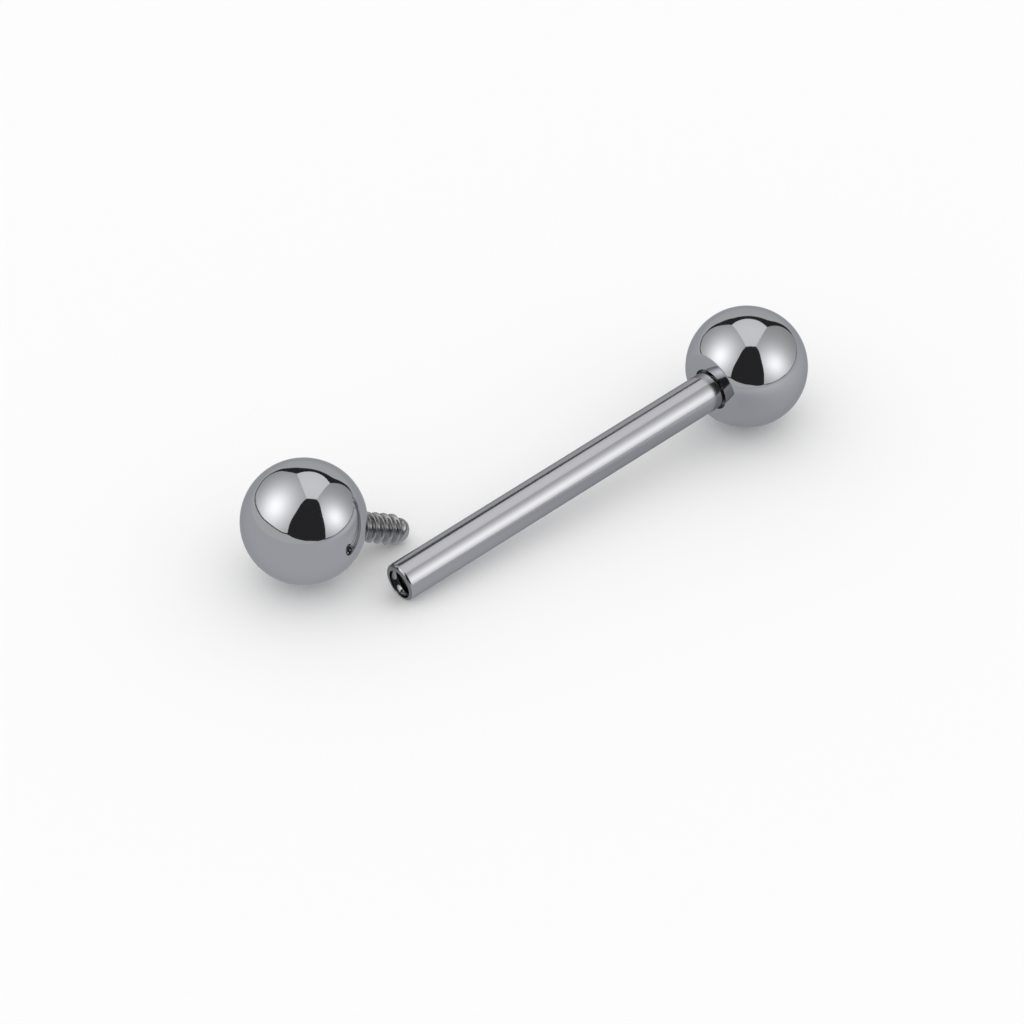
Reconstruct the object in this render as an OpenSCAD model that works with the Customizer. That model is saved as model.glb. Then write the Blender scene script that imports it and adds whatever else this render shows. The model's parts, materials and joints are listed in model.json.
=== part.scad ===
// Internally threaded straight barbell for a piercing, in polished metal.
// One ball is screwed home on the bar. The other is unscrewed and lies beside the bar's open end.
// Millimetres, +Z up. Everything rests on z = 0, under the middle of the whole lay.

/* [Balls] */
// Diameter of each ball
ball_d = 5; // [4.6:0.1:6]
// Diameter of the shallow countersink that takes the bar's end
seat_d = 2.6; // [2.4:0.1:2.8]
// Slope of the countersink's wall, in degrees from square to the axis
seat_slope = 22; // [16:1:26]
// Gap between the bar's end and the countersink, measured along the axis
seat_gap = 0.06; // [0.03:0.01:0.1]

/* [Bar] */
// Diameter of the bar
bar_d = 1.6; // [1.56:0.01:1.7]
// Length of the bar from end to end
bar_len = 16.4; // [10:0.2:26]
// Width of the bevel round each end
bevel = 0.12; // [0.08:0.01:0.13]
// Diameter of the hole drilled in each end, which the thread's crests leave
drill_d = 1.1; // [1.08:0.01:1.12]
// Depth of the drilled holes
drill_depth = 4.2; // [4:0.1:4.6]

/* [Screws] */
// Distance from one turn of thread to the next
pitch = 0.4; // [0.38:0.01:0.44]
// Diameter over the crests of a ball's screw
crest_d = 1.24; // [1.22:0.01:1.26]
// Diameter at the roots of a ball's screw
root_d = 0.92; // [0.88:0.01:0.94]
// Reach of a ball's screw from the ball's centre to its tip
reach = 4.95; // [4.8:0.05:5.1]
// Radial room between the two threads
thread_gap = 0.025; // [0.02:0.005:0.03]

/* [Lay] */
// Loose ball's centre, along the floor from the bar's open end
loose_along = -1.73; // [-2:0.05:-1.5]
// Loose ball's centre, across the floor from the bar
loose_across = 3.69; // [3.6:0.05:4]
// Way that the loose ball's screw points on the floor, in degrees from the bar's own
loose_turn = -12; // [-16:1:8]

/* [Hidden] */

STEEL = [0.56, 0.57, 0.58];
DARKER_STEEL = [0.46, 0.47, 0.49];

ball_r = ball_d / 2;
seat_r = seat_d / 2;
bar_r = bar_d / 2;
drill_r = drill_d / 2;
crest_r = crest_d / 2;
root_r = root_d / 2;
face_r = bar_r - bevel;

// Distances along a screw's own axis, from the ball's centre outwards
seat_rim = sqrt(ball_r * ball_r - seat_r * seat_r);
seat_fall = tan(seat_slope);
face_at = seat_rim - (seat_r - face_r) * seat_fall + seat_gap;
shank_r = 0.56;
shank_room = 0.01;
socket_floor = 0.34;
seat_floor = seat_rim - (seat_r - shank_r - shank_room) * seat_fall;
shank_from = socket_floor + shank_room;
thread_from = seat_floor + 0.02;
dome_len = 0.42;
dome_r = root_r + 0.07;
// Where the dome's rings lie, as shares of its length
DOME_RINGS = [0.3, 0.55, 0.75, 0.88, 0.96, 0.99];
thread_to = reach - dome_len;
fade = pitch * 0.8;
sides = 20;
rings_a_turn = 6;
tap_from = face_at - pitch;
tap_turns = 9;
mouth = 0.03;

// Tilt of the bar, from the ball's centre height and the open end's lowest edge on the floor
span = bar_len + face_at;
tilt = asin(ball_r / norm([bar_r, span - bevel])) - atan2(bar_r, span - bevel);
open_height = bar_r * cos(tilt) - bevel * sin(tilt);

// Crest radius of a screw at a distance along it: full size, then the last turn and a round dome
function dome(along) = let (k = (along - thread_to) / dome_len) dome_r * sqrt(max(0, 1 - pow(k, 2.2)));
function envelope(along) =
    along > thread_to ? dome(along)
    : along > thread_to - fade ? dome_r + (crest_r - dome_r) * (thread_to - along) / fade
    : crest_r;

// Droop of the loose ball's screw, whose last whole crest or dome touches the floor first
function droop_at(along, radius) = asin(ball_r / norm([radius, along])) - atan2(radius, along);
droop = min([for (along = [ball_r : pitch / 8 : reach]) droop_at(along, envelope(along))]);

// Middle of the whole lay, seen from above
lay_x = (span * cos(tilt) + loose_along) / 2;
lay_y = loose_across / 2;

// Share of the thread's height at a phase of its turn, 1 on the crest and 0 in the root
function ridge(phase) = pow((1 + cos(360 * phase)) / 2, 1.6);

// Radius of a screw at a distance along it and an angle round it, right-handed
function screw_radius(along, angle) =
    along <= thread_from ? shank_r
    : along > thread_to ? dome(along)
    : let (low = min(root_r, envelope(along)))
      low + (envelope(along) - low) * ridge(along / pitch - angle / 360);

// Closed solid of rings round +Z: point j of ring i lies at radius table[i][j] and height rows[i]
module rings(rows, table) {
    n = len(table[0]);
    last = len(rows) - 1;
    points = [
        for (i = [0 : last], j = [0 : n - 1])
            [table[i][j] * cos(360 * j / n), table[i][j] * sin(360 * j / n), rows[i]],
        [0, 0, rows[0]],
        [0, 0, rows[last]]
    ];
    low = n * (last + 1);
    faces = [
        for (i = [0 : last - 1], j = [0 : n - 1])
            each [
                [i * n + j, (i + 1) * n + j, (i + 1) * n + (j + 1) % n],
                [i * n + j, (i + 1) * n + (j + 1) % n, i * n + (j + 1) % n]
            ],
        for (j = [0 : n - 1]) [low, j, (j + 1) % n],
        for (j = [0 : n - 1]) [low + 1, last * n + (j + 1) % n, last * n + j]
    ];
    polyhedron(points, faces);
}

// A ball's screw: a plain shank that is pressed into the ball, then the thread and its dome
module screw() {
    steps_to_dome = ceil((thread_to - thread_from) / (pitch / rings_a_turn));
    rows = [
        shank_from,
        for (i = [0 : steps_to_dome]) thread_from + (thread_to - thread_from) * i / steps_to_dome,
        for (k = DOME_RINGS) thread_to + dome_len * k
    ];
    rings(rows, [for (along = rows) [for (j = [0 : sides - 1]) screw_radius(along, 360 * j / sides)]]);
}

// Helical ridge that cuts the bar's inner thread, as an outline of [radius, along] carried up a helix
module tap_ridge() {
    foot = 0.62 * pitch;
    crown = 0.24 * pitch;
    outer = crest_r + thread_gap;
    inner = drill_r - 0.05;
    outline = [[inner, -foot / 2], [outer, -crown / 2], [outer, crown / 2], [inner, foot / 2]];
    m = len(outline);
    steps = tap_turns * sides;
    // the crest of the screw's own thread passes through angle 0 at whole pitches
    start = ceil(tap_from / pitch) * pitch;
    points = [
        for (s = [0 : steps], q = outline)
            let (a = 360 * s / sides)
            [q[0] * cos(a), q[0] * sin(a), start + pitch * s / sides + q[1]]
    ];
    faces = [
        for (s = [0 : steps - 1], k = [0 : m - 1])
            let (b = s * m + k, c = s * m + (k + 1) % m)
            each [[b, c, c + m], [b, c + m, b + m]],
        [for (k = [m - 1 : -1 : 0]) k],
        [for (k = [0 : m - 1]) steps * m + k]
    ];
    polyhedron(points, faces);
}

// What is cut from the bar's end: the drilled hole, its eased mouth and the helical groove
module tapped_hole() {
    translate([0, 0, face_at - pitch]) cylinder(r = drill_r, h = pitch + drill_depth, $fn = 64);
    translate([0, 0, face_at - mouth]) cylinder(r1 = drill_r + 2 * mouth, r2 = drill_r, h = 2 * mouth, $fn = 64);
    tap_ridge();
}

// Puts a shape drawn along +Z from the ball's centre at the bar's far end or at its open end
module at_far_end() translate([span, 0, 0]) rotate([0, -90, 0]) children();
module at_open_end() translate([-face_at, 0, 0]) rotate([0, 90, 0]) children();

// Puts a shape drawn along +X from the open end's centre where the bar lies
module as_bar_lies() translate([-lay_x, -lay_y, open_height]) rotate([0, -tilt, 0]) children();

// Puts a shape drawn along +Z from the ball's centre where the loose ball lies
module as_loose_ball_lies()
    translate([loose_along - lay_x, loose_across - lay_y, ball_r])
        rotate([0, 90 + droop, loose_turn])
            children();

// Straight rod with a bevel round each end and a tapped hole in each
module bar_shape() {
    difference() {
        rotate([0, 90, 0])
            rotate_extrude($fn = 96)
                polygon([
                    [0, 0], [face_r, 0], [bar_r, bevel],
                    [bar_r, bar_len - bevel], [face_r, bar_len], [0, bar_len]
                ]);
        at_far_end() tapped_hole();
        at_open_end() tapped_hole();
    }
}

// Ball with a shallow countersink and the hole that its screw is pressed into
module ball_shape() {
    difference() {
        sphere(r = ball_r, $fn = 96);
        translate([0, 0, seat_floor])
            cylinder(
                r1 = shank_r + shank_room,
                r2 = shank_r + shank_room + (ball_r - seat_floor) / seat_fall,
                h = ball_r - seat_floor, $fn = 96
            );
        translate([0, 0, socket_floor]) cylinder(r = shank_r + shank_room, h = ball_r, $fn = 64);
    }
}

module bar() {
    color(STEEL) as_bar_lies() bar_shape();
}

module screwed_ball() {
    color(STEEL) as_bar_lies() at_far_end() ball_shape();
}

module screwed_ball_post() {
    color(DARKER_STEEL) as_bar_lies() at_far_end() screw();
}

module loose_ball() {
    color(STEEL) as_loose_ball_lies() ball_shape();
}

module loose_ball_post() {
    color(DARKER_STEEL) as_loose_ball_lies() screw();
}

bar();
screwed_ball();
screwed_ball_post();
loose_ball();
loose_ball_post();
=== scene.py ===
"""Straight piercing barbell with one ball unscrewed: its surfaces, its steels and its studio.

Each piece is a surface turned round an axis: a path of points (distance along the axis, radius)
carried round a full turn, with a radius that also changes with the angle where a thread runs.
"""

import json
import math

import bpy
import numpy as np
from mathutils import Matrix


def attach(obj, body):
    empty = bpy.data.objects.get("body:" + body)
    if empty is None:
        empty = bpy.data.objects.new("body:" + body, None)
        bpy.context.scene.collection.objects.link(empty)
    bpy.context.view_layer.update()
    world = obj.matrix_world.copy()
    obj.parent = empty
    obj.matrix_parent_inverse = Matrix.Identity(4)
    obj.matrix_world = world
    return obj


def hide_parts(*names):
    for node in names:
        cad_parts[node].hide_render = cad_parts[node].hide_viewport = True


bl_info = {
    "name": "Piercing barbell",
    "version": (1, 0, 0),
    "blender": (4, 5, 0),
    "location": "3D View > Sidebar > Barbell",
    "description": "Builds a straight internally threaded piercing barbell and its studio",
    "category": "Add Mesh",
}

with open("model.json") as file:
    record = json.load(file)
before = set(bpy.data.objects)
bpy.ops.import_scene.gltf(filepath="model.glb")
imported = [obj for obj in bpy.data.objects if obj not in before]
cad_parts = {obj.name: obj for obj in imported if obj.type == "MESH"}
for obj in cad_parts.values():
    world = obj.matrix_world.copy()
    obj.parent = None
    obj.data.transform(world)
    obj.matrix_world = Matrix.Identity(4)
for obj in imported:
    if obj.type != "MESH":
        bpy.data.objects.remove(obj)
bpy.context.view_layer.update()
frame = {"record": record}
MOUNTS = {m["name"]: m for m in frame["record"]["mounts"]}
SHAFT = MOUNTS["wearing_shaft"]
HOLE = MOUNTS["open_end_thread"]

MM = 0.001
BODY = "root"

# Radius of the small ring of points round the pole that closes a turned surface
POLE = 0.02 * MM
# Points on the curve of an eased corner, and how many of its own sizes past each of its ends one
# more point lies
EASE_POINTS, EASE_PAST = 7, 1.6
CORNER_ROWS = EASE_POINTS + 2
# Points round the bar
BAR_SIDES = 144


def from_hex(code):
    """Linear red, green and blue of an sRGB hex colour."""
    part = np.array([int(code[i : i + 2], 16) for i in (1, 3, 5)]) / 255
    line = np.where(part <= 0.04045, part / 12.92, ((part + 0.055) / 1.055) ** 2.4)
    return tuple(float(x) for x in line)


class BallSizes(bpy.types.PropertyGroup):
    """Sizes of the two balls, the crowned seat on each and the recess that takes the bar's end."""

    radius: bpy.props.FloatProperty(
        name="Ball radius",
        description="Radius of each ball",
        default=2.5 * MM,
        unit="LENGTH",
        precision=5,
    )
    face_at: bpy.props.FloatProperty(
        name="Bar's end",
        description="Distance from a ball's centre to the bar's end",
        default=1.94492 * MM,
        unit="LENGTH",
        precision=5,
    )
    lip_at: bpy.props.FloatProperty(
        name="Lip",
        description="Distance from a ball's centre to the recess's lip",
        default=1.985 * MM,
        unit="LENGTH",
        precision=5,
    )
    crown: bpy.props.FloatProperty(
        name="Crown",
        description="Radius of the seat's slight crown round the lip",
        default=5 * MM,
        unit="LENGTH",
        precision=5,
    )
    shoulder: bpy.props.FloatProperty(
        name="Shoulder",
        description="Radius of the rounding between the seat and the ball",
        default=0.12 * MM,
        unit="LENGTH",
        precision=5,
    )
    recess_radius: bpy.props.FloatProperty(
        name="Recess radius",
        description="Radius of the recess that takes the bar's end",
        default=0.9 * MM,
        unit="LENGTH",
        precision=5,
    )
    recess_at: bpy.props.FloatProperty(
        name="Recess floor",
        description="Distance from a ball's centre to the recess's floor",
        default=1.8 * MM,
        unit="LENGTH",
        precision=5,
    )
    socket_radius: bpy.props.FloatProperty(
        name="Socket radius",
        description="Radius of the hole for the pressed post",
        default=0.57 * MM,
        unit="LENGTH",
        precision=5,
    )
    socket_floor: bpy.props.FloatProperty(
        name="Socket floor",
        description="Distance from the ball's centre to the end of the hole for the post",
        default=0.34 * MM,
        unit="LENGTH",
        precision=5,
    )


class BarSizes(bpy.types.PropertyGroup):
    """Sizes of the straight bar and of the tapped hole in each end."""

    radius: bpy.props.FloatProperty(
        name="Bar radius",
        description="Radius of the bar",
        default=SHAFT["dims"]["r_mm"] * MM,
        unit="LENGTH",
        precision=5,
    )
    length: bpy.props.FloatProperty(
        name="Bar length",
        description="Length of the bar from end to end",
        default=16.4 * MM,
        unit="LENGTH",
        precision=5,
    )
    bevel: bpy.props.FloatProperty(
        name="Round",
        description="Radius of the rounding round each end",
        default=0.145 * MM,
        unit="LENGTH",
        precision=5,
    )
    drill_radius: bpy.props.FloatProperty(
        name="Drilled radius",
        description="Radius that the crests of the inner thread leave",
        default=HOLE["dims"]["r_mm"] * MM,
        unit="LENGTH",
        precision=5,
    )
    drill_depth: bpy.props.FloatProperty(
        name="Drilled depth",
        description="Depth of the hole in each end",
        default=4.2 * MM,
        unit="LENGTH",
        precision=5,
    )
    groove_radius: bpy.props.FloatProperty(
        name="Groove radius",
        description="Radius at the bottom of the inner thread's groove",
        default=0.645 * MM,
        unit="LENGTH",
        precision=5,
    )
    groove_depth: bpy.props.FloatProperty(
        name="Tapped depth",
        description="How far the inner thread runs into the hole",
        default=3.2 * MM,
        unit="LENGTH",
        precision=5,
    )


class PostSizes(bpy.types.PropertyGroup):
    """Sizes of the threaded post that is pressed into each ball."""

    pitch: bpy.props.FloatProperty(
        name="Pitch",
        description="Distance from one turn of thread to the next",
        default=0.4 * MM,
        unit="LENGTH",
        precision=5,
    )
    crest_radius: bpy.props.FloatProperty(
        name="Crest radius",
        description="Radius over the thread's crests",
        default=0.62 * MM,
        unit="LENGTH",
        precision=5,
    )
    root_radius: bpy.props.FloatProperty(
        name="Root radius",
        description="Radius at the thread's roots",
        default=0.46 * MM,
        unit="LENGTH",
        precision=5,
    )
    shank_radius: bpy.props.FloatProperty(
        name="Shank radius",
        description="Radius of the plain end that is pressed in",
        default=0.56 * MM,
        unit="LENGTH",
        precision=5,
    )
    reach: bpy.props.FloatProperty(
        name="Reach",
        description="Distance from the ball's centre to the post's tip",
        default=4.95 * MM,
        unit="LENGTH",
        precision=5,
    )
    dome_length: bpy.props.FloatProperty(
        name="Dome length",
        description="Length of the round tip past the thread",
        default=0.42 * MM,
        unit="LENGTH",
        precision=5,
    )


class LayPlaces(bpy.types.PropertyGroup):
    """Where the bar and the loose ball lie on the floor."""

    tilt: bpy.props.FloatProperty(
        name="Bar's rise",
        description="Rise of the bar towards its screwed ball",
        default=math.radians(5.36333),
        subtype="ANGLE",
    )
    open_end: bpy.props.FloatVectorProperty(
        name="Open end",
        description="Centre of the bar's open end",
        default=(-8.2673 * MM, -1.845 * MM, 0.785281 * MM),
        subtype="XYZ",
        unit="LENGTH",
        precision=5,
    )
    loose_centre: bpy.props.FloatVectorProperty(
        name="Loose ball",
        description="Centre of the loose ball",
        default=(-9.9973 * MM, 1.845 * MM, 2.5 * MM),
        subtype="XYZ",
        unit="LENGTH",
        precision=5,
    )
    loose_droop: bpy.props.FloatProperty(
        name="Droop",
        description="Fall of the loose ball's post below level",
        default=math.radians(25.9579),
        subtype="ANGLE",
    )
    loose_turn: bpy.props.FloatProperty(
        name="Turn",
        description="Way that the loose ball's post points on the floor",
        default=math.radians(-12),
        subtype="ANGLE",
    )


class SteelColours(bpy.types.PropertyGroup):
    """Colours of the steels, as they reflect."""

    mirror: bpy.props.FloatVectorProperty(
        name="Mirror steel",
        description="Reflected colour of the polished balls",
        default=from_hex("#c7c8cb"),
        subtype="COLOR",
        min=0,
        max=1,
    )
    ground: bpy.props.FloatVectorProperty(
        name="Ground steel",
        description="Reflected colour of the ground and polished bar",
        default=from_hex("#c2c2c6"),
        subtype="COLOR",
        min=0,
        max=1,
    )
    cut: bpy.props.FloatVectorProperty(
        name="Cut steel",
        description="Reflected colour of the cut threads",
        default=from_hex("#b9b9ba"),
        subtype="COLOR",
        min=0,
        max=1,
    )


class StudioPlaces(bpy.types.PropertyGroup):
    """Camera, floor and soft light panels."""

    azimuth: bpy.props.FloatProperty(
        name="Azimuth",
        description="Way the camera looks, from +Y",
        default=math.radians(-39.98),
        subtype="ANGLE",
    )
    elevation: bpy.props.FloatProperty(
        name="Elevation",
        description="Height of the camera above level",
        default=math.radians(38.94),
        subtype="ANGLE",
    )
    camera_place: bpy.props.FloatVectorProperty(
        name="Camera",
        description="Where the camera stands",
        default=(-86.58 * MM, -102.12 * MM, 107.11 * MM),
        subtype="XYZ",
        unit="LENGTH",
        precision=5,
    )
    lens: bpy.props.FloatProperty(
        name="Lens",
        description="Focal length on a 36 mm frame, in millimetres",
        default=149.7,
        unit="CAMERA",
    )
    tent_radius: bpy.props.FloatProperty(
        name="Tent radius",
        description="Distance of the light panels from the object",
        default=100 * MM,
        unit="LENGTH",
        precision=5,
    )
    floor_radius: bpy.props.FloatProperty(
        name="Floor radius",
        description="Radius of the pale floor and backdrop",
        default=700 * MM,
        unit="LENGTH",
        precision=5,
    )
    floor_colour: bpy.props.FloatVectorProperty(
        name="Floor",
        description="Colour of the pale floor",
        default=from_hex("#efefef"),
        subtype="COLOR",
        min=0,
        max=1,
    )


SETTINGS = {
    "barbell_balls": BallSizes,
    "barbell_bar": BarSizes,
    "barbell_posts": PostSizes,
    "barbell_lay": LayPlaces,
    "barbell_steels": SteelColours,
    "barbell_studio": StudioPlaces,
}


def eased_path(corners, ease):
    """Path through corners (along, radius) with each inner corner eased.

    A corner C eased by e is replaced by the curve (1-t)^2 A + 2t(1-t) C + t^2 B, where A and B lie
    at distance e from C on its two sides. A point beyond A and one beyond B keep the flats flat.
    """
    corners = np.asarray(corners, float)
    t = np.linspace(0, 1, EASE_POINTS)[:, None]
    rows = [corners[:1]]
    for before, here, after, e in zip(corners[:-2], corners[1:-1], corners[2:], ease):
        back, on = before - here, after - here
        back, on = back / np.linalg.norm(back), on / np.linalg.norm(on)
        a, b = here + e * back, here + e * on
        rows += [
            (here + EASE_PAST * e * back)[None],
            (1 - t) ** 2 * a + 2 * t * (1 - t) * here + t**2 * b,
            (here + EASE_PAST * e * on)[None],
        ]
    rows.append(corners[-1:])
    return np.concatenate(rows)


def grid_faces(rows, columns, closed=True, upward=False):
    """Four-sided faces of a grid of points that are numbered row by row.

    closed joins the last column to the first. upward winds each face the other way round, for a
    sheet whose rows and columns run so that it would look down.
    """
    steps = columns if closed else columns - 1
    i, j = np.meshgrid(np.arange(rows - 1), np.arange(steps), indexing="ij")
    k = (j + 1) % columns
    low, low_next = i * columns + j, i * columns + k
    high, high_next = low + columns, low_next + columns
    around = (low, high, high_next, low_next) if upward else (low, low_next, high_next, high)
    return np.stack(around, axis=2).reshape(-1, 4)


def turned(path, radius, place):
    """Points and faces of a closed surface turned round an axis.

    Row i of the surface lies at path[i] along the axis and point j of it at radius[i, j] and angle
    j/m of a turn. The first and last rows shrink to one point each. place is a 4 x 4 matrix from
    the axis, as +Z, to where the piece lies. The path runs so that metal lies on its left, and the
    faces look outwards.
    """
    n, m = radius.shape
    angle = np.arange(m) * 2 * math.pi / m
    x, y = radius * np.cos(angle), radius * np.sin(angle)
    z = np.broadcast_to(np.asarray(path)[:, None], (n, m))
    ring = np.stack([x, y, z], axis=2).reshape(-1, 3)
    points = np.concatenate([ring, [[0, 0, path[0]], [0, 0, path[-1]]]])
    points = points @ place[:3, :3].T + place[:3, 3]
    j = np.arange(m)
    k = (j + 1) % m
    start = np.stack([np.full(m, n * m), k, j], axis=1)
    end = np.stack([np.full(m, n * m + 1), (n - 1) * m + j, (n - 1) * m + k], axis=1)
    return points, grid_faces(n, m), np.concatenate([start, end])


def turn_about(axis, angle):
    """4 x 4 matrix that turns by an angle about a world axis, 0 for X, 1 for Y and 2 for Z."""
    c, s = math.cos(angle), math.sin(angle)
    a, b = [(1, 2), (2, 0), (0, 1)][axis]
    made = np.eye(4)
    made[a, a], made[a, b], made[b, a], made[b, b] = c, -s, s, c
    return made


def moved_to(x, y, z):
    """4 x 4 matrix that moves by x, y and z."""
    made = np.eye(4)
    made[:3, 3] = x, y, z
    return made


def bar_place():
    """Matrix from the bar's own axis, as +Z from the open end, to where it lies."""
    lay = bpy.context.scene.barbell_lay
    return moved_to(*lay.open_end) @ turn_about(1, math.pi / 2 - lay.tilt)


def screwed_ball_place():
    """Matrix from the screwed ball's axis, as +Z from its centre towards the bar, to where it
    lies."""
    scene = bpy.context.scene
    return (
        moved_to(*scene.barbell_lay.open_end)
        @ turn_about(1, -scene.barbell_lay.tilt)
        @ moved_to(scene.barbell_bar.length + scene.barbell_balls.face_at, 0, 0)
        @ turn_about(1, -math.pi / 2)
    )


def loose_ball_place():
    """Matrix from the loose ball's axis, as +Z from its centre towards its post's tip, to where it
    lies."""
    lay = bpy.context.scene.barbell_lay
    return (
        moved_to(*lay.loose_centre)
        @ turn_about(2, lay.loose_turn)
        @ turn_about(1, math.pi / 2 + lay.loose_droop)
    )


def add(tree, kind, settings=(), sockets=(), links=()):
    """Adds a node. settings are its own choices, sockets its plain numbers and colours, and links
    what feeds it."""
    made = tree.nodes.new(kind)
    for name, value in dict(settings).items():
        setattr(made, name, value)
    for name, value in dict(sockets).items():
        made.inputs[name].default_value = value
    for name, (source, output) in dict(links).items():
        tree.links.new(source.outputs[output], made.inputs[name])
    return made


def new_material(name):
    """An empty node material, and its node tree."""
    made = bpy.data.materials.new(name)
    made.use_nodes = True
    made.node_tree.nodes.clear()
    return made, made.node_tree


def lapped_mirror_steel():
    """Surgical steel, lapped between plates and mirror-polished: sharp reflections, with a faint
    haze in places and hair-fine marks that only soften the edge of a highlight."""
    made, tree = new_material("lapped_mirror_steel")
    place = add(tree, "ShaderNodeTexCoord")
    # buffing leaves cloudy places about 1.5 mm across that are a little less bright
    cloud = add(
        tree,
        "ShaderNodeTexNoise",
        sockets={"Scale": 1 / (1.5 * MM), "Detail": 3.0},
        links={"Vector": (place, "Object")},
    )
    haze = add(
        tree,
        "ShaderNodeMapRange",
        sockets={"From Min": 0.35, "From Max": 0.7, "To Min": 0.035, "To Max": 0.075},
        links={"Value": (cloud, "Fac")},
    )
    # polishing marks are about a thousandth of a millimetre wide, and are drawn at 0.05 mm so that
    # they show
    marks = add(
        tree,
        "ShaderNodeTexNoise",
        sockets={"Scale": 1 / (0.05 * MM), "Detail": 2.0},
        links={"Vector": (place, "Object")},
    )
    relief = add(
        tree,
        "ShaderNodeBump",
        sockets={"Strength": 0.012, "Distance": 0.01 * MM},
        links={"Height": (marks, "Fac")},
    )
    shader = add(
        tree,
        "ShaderNodeBsdfPrincipled",
        sockets={
            "Base Color": (*bpy.context.scene.barbell_steels.mirror, 1),
            "Metallic": 1.0,
            "Specular Tint": (*from_hex("#dfdfe1"), 1),
        },
        links={"Roughness": (haze, "Result"), "Normal": (relief, "Normal")},
    )
    add(tree, "ShaderNodeOutputMaterial", links={"Surface": (shader, "BSDF")})
    return made


def ground_polished_steel():
    """Surgical steel bar, centreless-ground and satin-polished: fine hoop marks round it draw every
    reflection out along the bar and leave it sharper across."""
    made, tree = new_material("ground_polished_steel")
    place = add(tree, "ShaderNodeTexCoord")
    along = add(
        tree, "ShaderNodeTangent", settings={"direction_type": "UV_MAP", "uv_map": "lie"}
    )
    # the grinding wheel's marks are a few thousandths of a millimetre wide and run round the bar.
    # They are drawn at 0.06 mm, and twelve times as long.
    stretched = add(
        tree,
        "ShaderNodeMapping",
        settings={"vector_type": "TEXTURE"},
        sockets={"Rotation": (0, -bpy.context.scene.barbell_lay.tilt, 0), "Scale": (1, 12, 12)},
        links={"Vector": (place, "Object")},
    )
    hoops = add(
        tree,
        "ShaderNodeTexNoise",
        sockets={"Scale": 1 / (0.06 * MM), "Detail": 3.0},
        links={"Vector": (stretched, "Vector")},
    )
    # hand polishing leaves places about 2.2 mm across that are a little less sharp
    cloud = add(
        tree,
        "ShaderNodeTexNoise",
        sockets={"Scale": 1 / (2.2 * MM), "Detail": 2.0},
        links={"Vector": (place, "Object")},
    )
    haze = add(
        tree,
        "ShaderNodeMapRange",
        sockets={"From Min": 0.3, "From Max": 0.7, "To Min": 0.16, "To Max": 0.195},
        links={"Value": (cloud, "Fac")},
    )
    relief = add(
        tree,
        "ShaderNodeBump",
        sockets={"Strength": 0.015, "Distance": 0.01 * MM},
        links={"Height": (hoops, "Fac")},
    )
    shader = add(
        tree,
        "ShaderNodeBsdfPrincipled",
        sockets={
            "Base Color": (*bpy.context.scene.barbell_steels.ground, 1),
            "Metallic": 1.0,
            "Specular Tint": (*from_hex("#cbcdd0"), 1),
            "Anisotropic": 0.5,
        },
        links={
            "Roughness": (haze, "Result"),
            "Normal": (relief, "Normal"),
            "Tangent": (along, "Tangent"),
        },
    )
    add(tree, "ShaderNodeOutputMaterial", links={"Surface": (shader, "BSDF")})
    return made


def thread_steel_with_painted_root_shade(name, low, high):
    """Thread-cut and tumbled steel: crests burnished smooth and roots duller, with the faint grain
    that the cutter leaves; its colour also falls from full on a crest to half in a root, painted
    shade in the grooves. low and high bound its roughness."""
    made, tree = new_material(name)
    colour = bpy.context.scene.barbell_steels.cut
    place = add(tree, "ShaderNodeTexCoord")
    depth = add(tree, "ShaderNodeAttribute", settings={"attribute_name": "crest"})
    # the cutter's chatter is about 0.01 mm wide, and is drawn at 0.03 mm
    grain = add(
        tree,
        "ShaderNodeTexNoise",
        sockets={"Scale": 1 / (0.03 * MM), "Detail": 4.0},
        links={"Vector": (place, "Object")},
    )
    # painted shade: the colour is half as bright where crest is 0, in the roots and grooves, and
    # full where it is 1
    tone = add(
        tree,
        "ShaderNodeMix",
        settings={"data_type": "RGBA"},
        sockets={"A": (*(0.5 * c for c in colour), 1), "B": (*colour, 1)},
        links={"Factor": (depth, "Fac")},
    )
    dull = add(
        tree,
        "ShaderNodeMapRange",
        sockets={"To Min": high, "To Max": low},
        links={"Value": (depth, "Fac")},
    )
    relief = add(
        tree,
        "ShaderNodeBump",
        sockets={"Strength": 0.10, "Distance": 0.01 * MM},
        links={"Height": (grain, "Fac")},
    )
    shader = add(
        tree,
        "ShaderNodeBsdfPrincipled",
        sockets={"Metallic": 1.0, "Specular Tint": (*from_hex("#dadada"), 1)},
        links={
            "Base Color": (tone, "Result"),
            "Roughness": (dull, "Result"),
            "Normal": (relief, "Normal"),
        },
    )
    add(tree, "ShaderNodeOutputMaterial", links={"Surface": (shader, "BSDF")})
    return made


def matt_paper(colour):
    """Matt white card, smooth and uncoated: a plain pale ground with hardly any sheen and the least
    tooth."""
    made, tree = new_material("matt_white_card")
    place = add(tree, "ShaderNodeTexCoord")
    tooth = add(
        tree,
        "ShaderNodeTexNoise",
        sockets={"Scale": 1 / (0.3 * MM), "Detail": 3.0},
        links={"Vector": (place, "Object")},
    )
    relief = add(
        tree,
        "ShaderNodeBump",
        sockets={"Strength": 0.04, "Distance": 0.02 * MM},
        links={"Height": (tooth, "Fac")},
    )
    shader = add(
        tree,
        "ShaderNodeBsdfPrincipled",
        sockets={"Base Color": (*colour, 1), "Roughness": 0.9, "Specular IOR Level": 0.1},
        links={"Normal": (relief, "Normal")},
    )
    add(tree, "ShaderNodeOutputMaterial", links={"Surface": (shader, "BSDF")})
    return made


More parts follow.
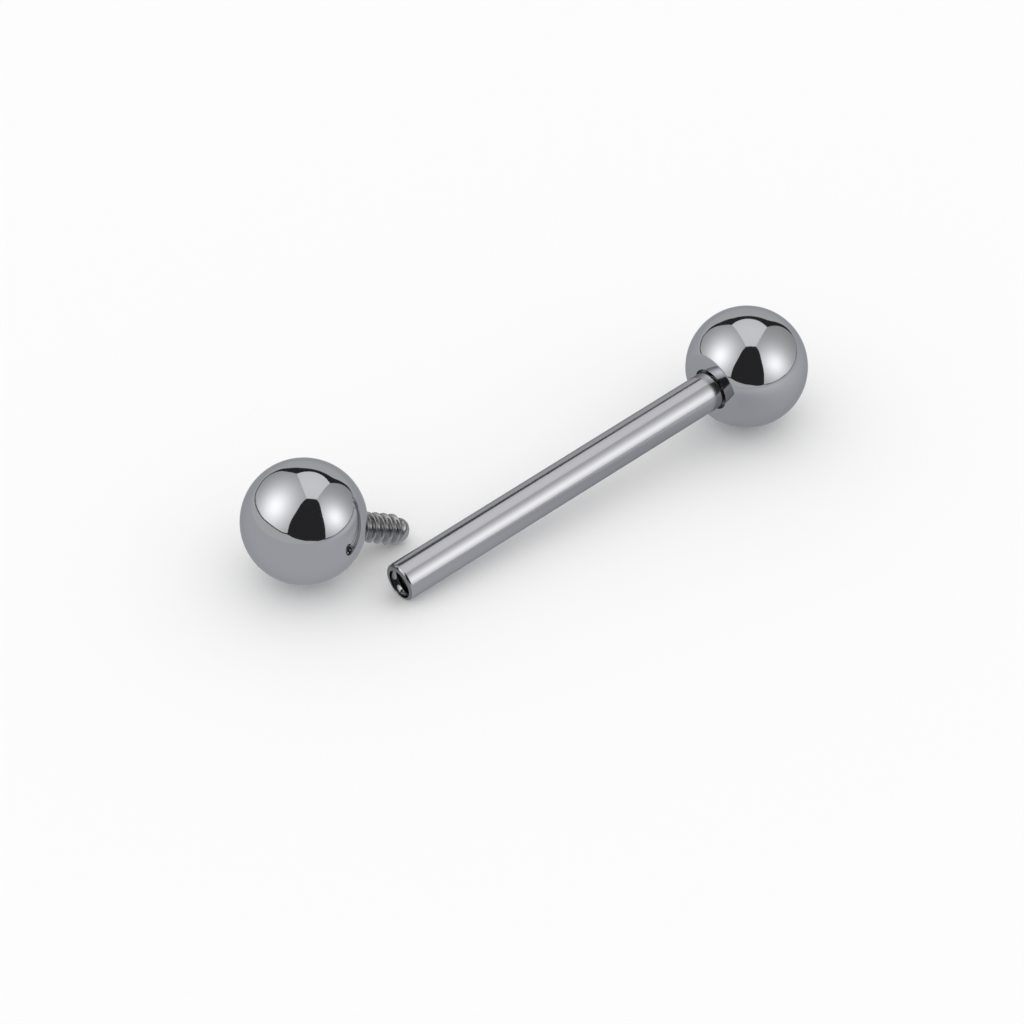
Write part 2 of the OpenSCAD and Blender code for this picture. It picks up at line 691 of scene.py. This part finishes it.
def lit_cloth(name, tint="#ffffff"):
    """Diffuser cloth lit from behind: it gives off light by the strength stored at each of its
    points."""
    made, tree = new_material(name)
    glow = add(tree, "ShaderNodeAttribute", settings={"attribute_name": "glow"})
    light = add(
        tree,
        "ShaderNodeEmission",
        sockets={"Color": (*from_hex(tint), 1)},
        links={"Strength": (glow, "Fac")},
    )
    add(tree, "ShaderNodeOutputMaterial", links={"Surface": (light, "Emission")})
    # broad soft cloths: rays that leave a surface find them, so no face needs its own sample
    made.cycles.emission_sampling = "NONE"
    return made


def new_object(name, surface, materials):
    """A mesh object of a surface's points, four-sided faces and triangles, with its place in its
    mesh."""
    points, quads, triangles = surface
    mesh = bpy.data.meshes.new(name)
    mesh.from_pydata(points.tolist(), [], quads.tolist() + triangles.tolist())
    mesh.polygons.foreach_set("use_smooth", np.ones(len(mesh.polygons), bool))
    for m in materials:
        mesh.materials.append(m)
    mesh.update()
    made = bpy.data.objects.new(name, mesh)
    bpy.context.scene.collection.objects.link(made)
    return made


def unwrap(made, path, sides):
    """UV map "lie" of a turned surface: u runs along the axis in metres and v round it from 0 to
    1."""
    i, j = np.meshgrid(np.arange(len(path) - 1), np.arange(sides), indexing="ij")
    here, there = path[i], path[i + 1]
    low, high = j / sides, (j + 1) / sides
    quads = np.stack([here, low, here, high, there, high, there, low], axis=2)
    low, high = low[0], high[0]
    middle = (np.arange(sides) + 0.5) / sides
    first, last = np.full(sides, path[0]), np.full(sides, path[-1])
    start = np.stack([first, middle, first, high, first, low], axis=1)
    end = np.stack([last, middle, last, low, last, high], axis=1)
    lie = made.data.uv_layers.new(name="lie")
    corners = np.concatenate([quads.ravel(), start.ravel(), end.ravel()])
    lie.data.foreach_set("uv", corners.astype(np.float32))


def as_piece(made, node):
    """Hands a finished piece to the frame: it rides with the body and stands for its CAD node."""
    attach(made, BODY)
    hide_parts(node)


def store(made, name, values):
    """Stores one number for each point of the mesh, for a material to read."""
    kept = made.data.attributes.new(name, "FLOAT", "POINT")
    kept.data.foreach_set("value", np.asarray(values, np.float32))


def set_steels(made, slots):
    """Says which of its steels each face of the mesh is made of."""
    made.data.polygons.foreach_set("material_index", np.asarray(slots, np.int32))


def ball_surface(place, sides=224):
    """Sphere of radius R from its back pole, a round shoulder of radius f, the crowned seat, the
    recess for the bar's end, and the straight hole for the post down to its floor. Returns the
    surface and each face's steel.

    On the sphere, along = -R cos a and radius = R sin a. The crown is an arc of radius C that is
    square to the axis at the lip. The shoulder's centre lies R - f from the ball's centre and C - f
    from the crown's own, so it touches both.
    """
    ball = bpy.context.scene.barbell_balls
    f = ball.shoulder
    hub = np.array([ball.lip_at - ball.crown, ball.recess_radius])
    apart = np.linalg.norm(hub)
    near = ((ball.radius - f) ** 2 - (ball.crown - f) ** 2 + apart**2) / (2 * apart)
    aside = math.sqrt((ball.radius - f) ** 2 - near**2)
    heart = (near * hub + aside * np.array([hub[1], -hub[0]])) / apart
    lean = math.atan2(heart[1], heart[0])
    rise = math.atan2(heart[1] - hub[1], heart[0] - hub[0])

    def arc(centre, radius, angles):
        """Points centre + radius (cos a, sin a) of an arc at these angles a."""
        return centre + radius * np.stack([np.cos(angles), np.sin(angles)], axis=1)

    sphere_rows, shoulder_rows, seat_rows = 170, 14, 16
    pole_angle = 0.004
    a = np.linspace(pole_angle, math.pi - lean, sphere_rows)
    sphere = ball.radius * np.stack([-np.cos(a), np.sin(a)], axis=1)
    shoulder = arc(heart, f, np.linspace(lean, rise, shoulder_rows)[1:])
    seat = arc(hub, ball.crown, np.linspace(rise, 0, seat_rows)[1:])
    ease = 0.03 * MM
    inner = eased_path(
        [
            seat[-2],
            (ball.lip_at, ball.recess_radius),
            (ball.recess_at, ball.recess_radius),
            (ball.recess_at, ball.socket_radius),
            (ball.socket_floor, ball.socket_radius),
            (ball.socket_floor, POLE),
        ],
        [0.5 * ease, 0.8 * ease, ease, ease],
    )
    path = np.concatenate([sphere, shoulder, seat[:-2], inner])
    radius = np.repeat(path[:, 1:], sides, axis=1)
    # the bored metal begins where the lip's eased corner ends
    bored = np.arange(len(path) - 1) >= len(path) - len(inner) + CORNER_ROWS
    slots = np.concatenate([np.repeat(bored, sides), np.zeros(sides), np.ones(sides)])
    return turned(path[:, 0], radius, place), slots


def thread_wave(along, turn):
    """Wave of a right-handed thread, 1 on its crest and 0 in its root.

    It is (1 + cos 2 pi (z / pitch - a)) / 2 at distance z along the axis from the ball's centre and
    share a of a turn.
    """
    pitch = bpy.context.scene.barbell_posts.pitch
    return (1 + np.cos(2 * math.pi * (along[:, None] / pitch - turn[None]))) / 2


def post_surface(place, sides=96, rows_a_turn=22):
    """Plain shank, then a right-handed thread, then a round dome. Returns the surface and how
    burnished each point is, which also sets its tone: the roots come out darker, painted shade.

    Along the thread the radius is root + (crest - root) p^3, where p is the thread's wave. The
    crest falls to the dome's foot over the last four fifths of a turn. The dome's radius is
    foot sqrt(1 - k^2.2) at share k of its length.
    """
    post = bpy.context.scene.barbell_posts
    begin = bpy.context.scene.barbell_balls.recess_at
    end = post.reach - post.dome_length
    pressed_in = 1.4 * MM
    foot = post.root_radius + 0.03 * MM
    fade = 0.8 * post.pitch
    run_out = 0.25 * post.pitch
    shank = eased_path(
        [
            (begin - pressed_in, POLE),
            (begin - pressed_in, post.shank_radius),
            (begin, post.shank_radius),
        ],
        [0.05 * MM],
    )[:-1]
    z = np.linspace(begin, end, int((end - begin) / post.pitch * rows_a_turn))
    falling = foot + (post.crest_radius - foot) * (end - z) / fade
    crest = np.where(z > end - fade, falling, post.crest_radius)
    root = np.minimum(post.root_radius, crest)
    wave = thread_wave(z, np.arange(sides) / sides) ** 3
    thread = root[:, None] + (crest - root)[:, None] * wave
    # the thread grows out of the shank over its first quarter turn
    grown = np.clip((z - begin) / run_out, 0, 1)[:, None]
    thread = post.shank_radius * (1 - grown) + thread * grown
    # and sinks into the dome's foot over its last
    sunk = np.clip((end - z) / run_out, 0, 1)[:, None]
    thread = foot * (1 - sunk) + thread * sunk
    dome_rows, last_share = 18, 0.9995
    k = np.append(np.sin(np.linspace(0, math.pi / 2, dome_rows)[1:-1]), last_share)
    dome = foot * np.sqrt(1 - k**2.2)
    along = np.concatenate([shank[:, 0], z, end + post.dome_length * k])
    radius = np.concatenate(
        [np.repeat(shank[:, 1:], sides, axis=1), thread, np.repeat(dome[:, None], sides, axis=1)]
    )
    # 1 on the crests, the shank and the dome, and 0 in the roots, which the steel paints darker as
    # shade
    shine = np.concatenate(
        [np.ones((len(shank), sides)), wave * sunk + (1 - sunk), np.ones((len(k), sides))]
    )
    return turned(along, radius, place), np.append(shine.ravel(), [1, 1])


def hole_rows(depths, flip):
    """Radius of a tapped hole at depths into a bar's end, for each point round the bar, and how
    deep the thread is cut there, from 0 to 1.

    The drilled radius stands between turns, and the groove is as deep as p^0.8, where p is the
    thread's wave, the same as the post's. It fades out over one pitch before the tapped depth. flip
    is the far end's.
    """
    bar, post = bpy.context.scene.barbell_bar, bpy.context.scene.barbell_posts
    share = np.arange(BAR_SIDES) / BAR_SIDES
    # the far ball's own angle starts half a turn round from the bar's and runs the other way
    turn = 0.5 - share if flip else share
    fade = np.clip((bar.groove_depth - depths) / post.pitch, 0, 1)[:, None]
    wave = thread_wave(bpy.context.scene.barbell_balls.face_at + depths, turn) ** 0.8 * fade
    return bar.drill_radius + (bar.groove_radius - bar.drill_radius) * wave, wave


def bar_end_rows(flip):
    """Rows of one end of the bar, from the bottom of its hole out along the thread, over the end
    face and round the bevel, a quarter circle. flip is the far end's.

    Returns each row's distance from the end, its points' radii and how burnished they are, which
    also darkens them as painted shade in the grooves, at the hole's bottom and on the end face, and
    1 where the row has the duller finish of the lathe and 0 where it is ground and polished.
    """
    bar, post = bpy.context.scene.barbell_bar, bpy.context.scene.barbell_posts
    mouth, drill_point, margin = 0.03 * MM, 0.25 * MM, 0.004 * MM
    rows_a_turn, mouth_rows, face_rows, bevel_rows, dull_bevel_rows = 16, 5, 5, 18, 11
    # a quarter of the way from a root's tone and roughness to a crest's: duller, and darker by
    # painted shade
    faced_shade_and_dullness = 0.25

    rows = int(bar.drill_depth / post.pitch * rows_a_turn)
    depths = np.linspace(bar.drill_depth, mouth, rows)
    wall, wave = hole_rows(depths, flip)
    face_radius = bar.radius - bar.bevel
    # the eased mouth starts at whatever radius the thread has there, and stays inside the end face
    q = np.linspace(0, math.pi / 2, mouth_rows + 1)[1:]
    lip_radius = wall[-1][None] + mouth * (1 - np.cos(q))[:, None]
    lip_radius = np.minimum(lip_radius, face_radius - margin)
    lip_along = mouth * (1 - np.sin(q))
    out = np.linspace(0.02, 0.98, face_rows)[:, None]
    flat_radius = lip_radius[-1][None] * (1 - out) + face_radius * out
    q = np.linspace(0, math.pi / 2, bevel_rows)
    bevel_along = bar.bevel * (1 - np.cos(q))
    bevel_radius = face_radius + bar.bevel * np.sin(q)

    along = np.concatenate(
        [[bar.drill_depth + drill_point], depths, lip_along, np.zeros(face_rows), bevel_along]
    )
    radius = np.concatenate(
        [
            np.full((1, BAR_SIDES), POLE),
            wall,
            lip_radius,
            flat_radius,
            np.repeat(bevel_radius[:, None], BAR_SIDES, axis=1),
        ]
    )
    # the end face and the inner part of the bevel keep the duller finish of the lathe, and a darker
    # tone that is painted shade
    faced = mouth_rows + face_rows + dull_bevel_rows
    polished = bevel_rows - dull_bevel_rows
    shine = np.concatenate(
        [
            np.zeros((1, BAR_SIDES)),
            1 - wave,
            np.full((faced, BAR_SIDES), faced_shade_and_dullness),
            np.ones((polished, BAR_SIDES)),
        ]
    )
    return along, radius, shine, np.repeat([1, 0], [1 + rows + faced, polished])


def bar_surface(place):
    """The bar as one path from the bottom of the open end's hole, over that end, along the outside,
    and the same way into the far end. Returns the surface, its path, how burnished each point is,
    which also darkens the grooves, the holes' bottoms and the end faces as painted shade, and each
    row of faces' steel."""
    bar = bpy.context.scene.barbell_bar
    middle_rows = 60
    middle = np.linspace(bar.bevel, bar.length - bar.bevel, middle_rows)[1:-1]
    shape = (len(middle), BAR_SIDES)
    along, radius, shine, dull = bar_end_rows(False)
    far_along, far_radius, far_shine, far_dull = bar_end_rows(True)
    along = np.concatenate([along, middle, bar.length - far_along[::-1]])
    radius = np.concatenate([radius, np.full(shape, bar.radius), far_radius[::-1]])
    shine = np.concatenate([shine, np.ones(shape), far_shine[::-1]])
    dull = np.concatenate([dull, np.zeros(len(middle), int), far_dull[::-1]])
    steels = np.repeat(np.minimum(dull[:-1], dull[1:]), BAR_SIDES)
    return turned(along, radius, place), along, np.append(shine.ravel(), [0, 0]), steels


def sky_direction(plan, right, back):
    """World directions of points on a plan of the sky.

    Its middle is overhead, its rim of radius 1 is level, and between them a point's height falls
    evenly with its distance from the middle. Its first axis points to the camera's right and its
    second away from the camera.
    """
    plan = np.asarray(plan, float)
    far = np.maximum(np.linalg.norm(plan, axis=-1, keepdims=True), 1e-9)
    height = (1 - far) * math.pi / 2
    flat = (plan[..., :1] * right + plan[..., 1:] * back) / far
    return np.cos(height) * flat + np.sin(height) * np.array([0, 0, 1.0])


def smooth_side(points, steps=14):
    """Catmull-Rom curve through the points of one side, without its last point.

    Each stretch is the cubic between two points whose slope at either is half the step between
    that point's neighbours.
    """
    p = np.asarray(points, float)
    p = np.concatenate([2 * p[:1] - p[1:2], p, 2 * p[-1:] - p[-2:-1]])
    t = (np.arange(steps) / steps)[:, None]
    a, b, c, d = (p[i : len(p) - 3 + i, None] for i in range(4))
    bend, twist = 2 * a - 5 * b + 4 * c - d, 3 * b - a - 3 * c + d
    return (0.5 * (2 * b + (c - a) * t + bend * t**2 + twist * t**3)).reshape(-1, 2)


# Light panels on the plan of the sky. Each side runs from one corner to the next. The corners
# stand at both ends of the dark gap between the left and right panels, and where the back
# panel's two long sides end.
GAP_BACK_LEFT, GAP_BACK_RIGHT = (0.015, -0.135), (0.205, -0.12)
WALL_LEFT, WALL_RIGHT = (-0.165, 0.445), (0.365, 0.385)
GAP_FRONT_LEFT, GAP_FRONT_RIGHT = (-0.42, -0.72), (0.545, -0.81)
LEFT_PANEL = [
    [GAP_BACK_LEFT, (-0.04, 0.02), (-0.11, 0.24), WALL_LEFT],
    [WALL_LEFT, (-0.30, 0.555), (-0.395, 0.65), (-0.505, 0.70), (-0.60, 0.69), (-0.69, 0.61)]
    + [(-0.79, 0.49), (-0.85, 0.30), (-0.865, 0.08), (-0.82, -0.19), (-0.69, -0.45)]
    + [(-0.54, -0.64), GAP_FRONT_LEFT],
    [GAP_FRONT_LEFT, (-0.31, -0.545), (-0.165, -0.37), (-0.07, -0.23), GAP_BACK_LEFT],
]
RIGHT_PANEL = [
    [GAP_BACK_RIGHT, (0.28, 0.09), WALL_RIGHT],
    [WALL_RIGHT, (0.45, 0.50), (0.53, 0.60), (0.61, 0.66), (0.71, 0.675), (0.79, 0.595)]
    + [(0.885, 0.43), (0.96, 0.22), (0.985, 0.0), (0.96, -0.22), (0.86, -0.48), (0.72, -0.67)]
    + [GAP_FRONT_RIGHT],
    [GAP_FRONT_RIGHT, (0.455, -0.585), (0.35, -0.385), (0.27, -0.20), GAP_BACK_RIGHT],
]
BACK_PANEL = [
    [GAP_BACK_LEFT, GAP_BACK_RIGHT],
    [GAP_BACK_RIGHT, (0.28, 0.09), WALL_RIGHT],
    [WALL_RIGHT, (0.26, 0.48), (0.165, 0.525), (0.07, 0.54), (-0.03, 0.52), (-0.10, 0.49)]
    + [WALL_LEFT],
    [WALL_LEFT, (-0.11, 0.24), (-0.04, 0.02), GAP_BACK_LEFT],
]
# Each panel's sides, the point that its rings shrink to, and the lamp behind it
PANELS = {
    "left_light_panel": (
        LEFT_PANEL,
        (-0.5, -0.05),
        dict(base=0.33, peak=1.39, centre=(-0.55, -0.15), wide=0.39, deep=0.44, turn=0.0),
    ),
    "right_light_panel": (
        RIGHT_PANEL,
        (0.62, -0.05),
        dict(base=0.36, peak=1.28, centre=(0.65, -0.30), wide=0.41, deep=0.32, turn=0.69),
    ),
    "back_light_panel": (
        BACK_PANEL,
        (0.1, 0.25),
        dict(base=0.64, peak=0.29, centre=(0.1, 0.15), wide=0.8, deep=0.8, turn=0.0),
    ),
}
# Upper edge of the pale card that stands round the back, the left and the front, from the
# right-hand back
CARD_EDGE = [
    (0.745, 0.665), (0.70, 0.70), (0.59, 0.74), (0.51, 0.70), (0.44, 0.645), (0.37, 0.60),
    (0.27, 0.61), (0.15, 0.63), (0.03, 0.635), (-0.09, 0.635), (-0.19, 0.66), (-0.28, 0.68),
    (-0.385, 0.73), (-0.50, 0.735), (-0.60, 0.72), (-0.705, 0.63), (-0.805, 0.50),
    (-0.868, 0.305), (-0.883, 0.08), (-0.837, -0.195), (-0.705, -0.46), (-0.552, -0.655),
    (-0.43, -0.74), (-0.26, -0.86), (-0.05, -0.93), (0.12, -0.94), (0.36, -0.915),
    (0.525, -0.85),
]
# How many times as far out as the panels the card stands, and the light of both pale sheets
CARD_STANDS_OUT = 1.02
CARD_GLOW = 0.585
BACKDROP_GLOW = 1.14


def dome_sheet(plan, radius, right, back, closed=True):
    """Points and faces of a grid of plan points laid on a dome: radius times their directions."""
    points = (radius * sky_direction(plan, right, back)).reshape(-1, 3)
    return points, grid_faces(*plan.shape[:2], closed), np.zeros((0, 3), int)


def panel_plan(sides, heart, rings=26):
    """Plan points of a panel: rings heart + s (outline - heart), with s from 1 down to nearly 0."""
    outline = np.concatenate([smooth_side(side) for side in sides])
    s = np.linspace(1, 0.002, rings)[:, None, None]
    return np.asarray(heart) + s * (outline[None] - np.asarray(heart))


def card_plan(rows=12):
    """Plan points of the card: rows edge (1 - t) + rim t, from its upper edge straight down to the
    level rim."""
    edge = smooth_side(CARD_EDGE)
    rim = edge / np.linalg.norm(edge, axis=1, keepdims=True)
    t = np.linspace(0, 1, rows)[:, None, None]
    return edge[None] * (1 - t) + rim[None] * t


def lamp_glow(plan, base, peak, centre, wide, deep, turn):
    """Light through a diffuser from a lamp behind it: base + peak / (1 + u^2 + v^2)^1.5, with u and
    v the distances from the lamp's centre along two turned axes, in lamp widths."""
    x, y = plan[..., 0] - centre[0], plan[..., 1] - centre[1]
    u = (x * math.cos(turn) + y * math.sin(turn)) / wide
    v = (-x * math.sin(turn) + y * math.cos(turn)) / deep
    return base + peak / (1 + u**2 + v**2) ** 1.5


def table_glow(across, deep):
    """Light of the grey table at points across to the camera's right and deep away from it, in
    millimetres.

    Two bells exp(-((x - x0) / a)^2 - ((y - y0) / b)^2) change its plain tone. One darkens it below
    the right-hand ball and one brightens it out to that ball's right. From 120 mm on it turns dark
    over a wedge on that side, where it shows as a thin line under the panel.
    """

    def bell(x0, y0, a, b):
        """Bell of height 1 round (x0, y0), a wide and b deep."""
        return np.exp(-(((across - x0) / a) ** 2) - ((deep - y0) / b) ** 2)

    plain, shade_depth, shine_height, far_depth = 0.5512, 0.13, 0.1456, 0.85
    shade = bell(x0=8.2, y0=-1.5, a=6.5, b=10)
    shine = bell(x0=30, y0=-12, a=20, b=20)
    far_from, far_ramp = 120, 20
    wedge_middle, wedge_half, wedge_ramp = -5, 52, 4
    bearing = np.degrees(np.arctan2(deep, across))
    far = np.clip((np.hypot(across, deep) - far_from) / far_ramp, 0, 1)
    far *= np.clip((wedge_half - np.abs(bearing - wedge_middle)) / wedge_ramp, 0, 1)
    return (plain - shade_depth * shade + shine_height * shine) * (1 - far_depth * far)


def disc(radii, sides=96):
    """Flat disc on z = 0, facing up: rings r (cos a, sin a) at these radii, and a middle point."""
    angle = np.arange(sides) * 2 * math.pi / sides
    ring = np.asarray(radii)[:, None]
    level = np.zeros((len(radii), sides))
    flat = np.stack([ring * np.cos(angle), ring * np.sin(angle), level], axis=2).reshape(-1, 3)
    j = np.arange(sides)
    centre = np.stack([np.full(sides, len(flat)), j, (j + 1) % sides], axis=1)
    return np.concatenate([flat, [[0, 0, 0]]]), grid_faces(len(radii), sides, upward=True), centre


def half_sphere(radius, rows=20, columns=65):
    """Half sphere that stands on z = 0: radius (cos turn cos rise, sin turn cos rise, sin rise).

    Its first and last columns meet.
    """
    turn, rise = np.meshgrid(
        np.linspace(0, 2 * math.pi, columns), np.linspace(0, math.pi / 2, rows)
    )
    sky = np.stack([np.cos(turn) * np.cos(rise), np.sin(turn) * np.cos(rise), np.sin(rise)], axis=2)
    quads = grid_faces(rows, columns, closed=False, upward=True)
    return radius * sky.reshape(-1, 3), quads, np.zeros((0, 3), int)


def as_seen_stage(made):
    """Marks an object as studio that is seen and that lights the floor, but isn't reflected."""
    made.visible_glossy = False


def as_reflected_stage(made):
    """Marks an object as studio that only the steel reflects, as the panels and table of a tent."""
    made.visible_camera = False
    made.visible_diffuse = False
    made.visible_shadow = False


def set_out_surroundings(studio):
    """Pale floor, and a pale backdrop that also gives all the light that falls on the floor."""
    wide = studio.floor_radius
    rings = np.array([0.01, 0.1, 0.5, 1]) * wide
    floor = new_object("pale_floor", disc(rings), [matt_paper(studio.floor_colour)])
    as_seen_stage(floor)
    backdrop = new_object("pale_backdrop", half_sphere(wide), [lit_cloth("pale_backdrop_cloth")])
    store(backdrop, "glow", np.full(len(backdrop.data.vertices), BACKDROP_GLOW))
    as_seen_stage(backdrop)


def set_out_tent(studio):
    """Grey table, three light panels and a pale card, which only the steel reflects."""
    c, s = math.cos(studio.azimuth), math.sin(studio.azimuth)
    right, back = np.array([c, s, 0.0]), np.array([-s, c, 0.0])
    inmost, rings = 0.5 * MM, 60
    surface = disc(np.geomspace(inmost, studio.floor_radius, rings))
    table = new_object("grey_table", surface, [lit_cloth("grey_table_top", "#f8fbff")])
    store(table, "glow", table_glow(surface[0] @ right / MM, surface[0] @ back / MM))
    as_reflected_stage(table)
    for name, (sides, heart, lamp) in PANELS.items():
        plan = panel_plan(sides, heart)
        sheet = dome_sheet(plan, studio.tent_radius, right, back)
        panel = new_object(name, sheet, [lit_cloth(name + "_cloth")])
        store(panel, "glow", lamp_glow(plan, **lamp).ravel())
        as_reflected_stage(panel)
    out = studio.tent_radius * CARD_STANDS_OUT
    sheet = dome_sheet(card_plan(), out, right, back, closed=False)
    card = new_object("pale_card", sheet, [lit_cloth("pale_card")])
    store(card, "glow", np.full(len(card.data.vertices), CARD_GLOW))
    as_reflected_stage(card)


def set_up_camera(scene, studio):
    """Dark world beyond the studio, and the camera at the photograph's angle."""
    world = bpy.data.worlds.new("dark_studio")
    world.use_nodes = True
    dark = (*from_hex("#303031"), 1)
    world.node_tree.nodes["Background"].inputs["Color"].default_value = dark
    scene.world = world
    eye = bpy.data.cameras.new("camera")
    eye.sensor_width = 36
    eye.lens = studio.lens
    eye.clip_start = 0.005
    eye.clip_end = 20
    camera = bpy.data.objects.new("camera", eye)
    camera.location = studio.camera_place
    camera.rotation_euler = (math.pi / 2 - studio.elevation, 0, studio.azimuth)
    scene.collection.objects.link(camera)
    scene.camera = camera
    scene.view_settings.view_transform = "Standard"


class BARBELL_OT_bar(bpy.types.Operator):
    """Build the straight bar with its rounded ends and tapped holes"""

    bl_idname = "barbell.bar"
    bl_label = "Bar"

    def execute(self, context):
        surface, path, shine, steels = bar_surface(bar_place())
        outside = ground_polished_steel()
        # its colour darkens where crest is low: painted shade in the grooves, at the hole's bottom
        # and on the end face
        inside = thread_steel_with_painted_root_shade("tapped_bore_steel", low=0.07, high=0.16)
        made = new_object("straight_bar", surface, [outside, inside])
        set_steels(made, np.append(steels, np.ones(len(surface[2]))))
        store(made, "crest", shine)
        unwrap(made, path, BAR_SIDES)
        as_piece(made, "bar")
        return {"FINISHED"}


class BARBELL_OT_balls(bpy.types.Operator):
    """Build the two balls with the seats that the bar's ends go into"""

    bl_idname = "barbell.balls"
    bl_label = "Balls"

    def execute(self, context):
        finishes = [lapped_mirror_steel(), thread_steel_with_painted_root_shade("bored_steel_in_painted_shade", low=0.2, high=0.3)]
        for name, node, place in (
            ("ball_screwed_home", "screwed_ball", screwed_ball_place()),
            ("ball_unscrewed", "loose_ball", loose_ball_place()),
        ):
            surface, steels = ball_surface(place)
            made = new_object(name, surface, finishes)
            set_steels(made, steels)
            # crest 0 everywhere gives the recess and the post's hole the steel's darkest tone,
            # painted shade
            store(made, "crest", np.zeros(len(surface[0])))
            as_piece(made, node)
        return {"FINISHED"}


class BARBELL_OT_posts(bpy.types.Operator):
    """Build the threaded posts that are pressed into the balls"""

    bl_idname = "barbell.posts"
    bl_label = "Threaded posts"

    def execute(self, context):
        finish = thread_steel_with_painted_root_shade("thread_steel_with_painted_root_shade", low=0.1, high=0.18)
        for name, node, place in (
            ("post_screwed_home", "screwed_ball_post", screwed_ball_place()),
            ("post_unscrewed", "loose_ball_post", loose_ball_place()),
        ):
            surface, shine = post_surface(place)
            made = new_object(name, surface, [finish])
            store(made, "crest", shine)
            as_piece(made, node)
        return {"FINISHED"}


class BARBELL_OT_studio(bpy.types.Operator):
    """Set out the floor, the light panels and the camera"""

    bl_idname = "barbell.studio"
    bl_label = "Studio"

    def execute(self, context):
        studio = context.scene.barbell_studio
        set_out_surroundings(studio)
        set_out_tent(studio)
        set_up_camera(context.scene, studio)
        return {"FINISHED"}


STEPS = (BARBELL_OT_bar, BARBELL_OT_balls, BARBELL_OT_posts, BARBELL_OT_studio)


class BARBELL_PT_panel(bpy.types.Panel):
    """Lists the steps that build the barbell and its studio"""

    bl_label = "Piercing barbell"
    bl_idname = "BARBELL_PT_panel"
    bl_space_type = "VIEW_3D"
    bl_region_type = "UI"
    bl_category = "Barbell"

    def draw(self, context):
        for step in STEPS:
            self.layout.operator(step.bl_idname)
        for name in SETTINGS:
            group = getattr(context.scene, name)
            box = self.layout.box()
            for key in group.__annotations__:
                box.prop(group, key)


CLASSES = (*SETTINGS.values(), *STEPS, BARBELL_PT_panel)


def register():
    """Makes the add-on's classes known to Blender and gives each scene its settings."""
    for made in CLASSES:
        bpy.utils.register_class(made)
    for name, group in SETTINGS.items():
        setattr(bpy.types.Scene, name, bpy.props.PointerProperty(type=group))


def unregister():
    """Takes away what register added."""
    for name in SETTINGS:
        delattr(bpy.types.Scene, name)
    for made in reversed(CLASSES):
        bpy.utils.unregister_class(made)


def main():
    """Registers the add-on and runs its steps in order."""
    register()
    bpy.ops.barbell.bar()
    bpy.ops.barbell.balls()
    bpy.ops.barbell.posts()
    bpy.ops.barbell.studio()


if __name__ == "__main__":
    main()
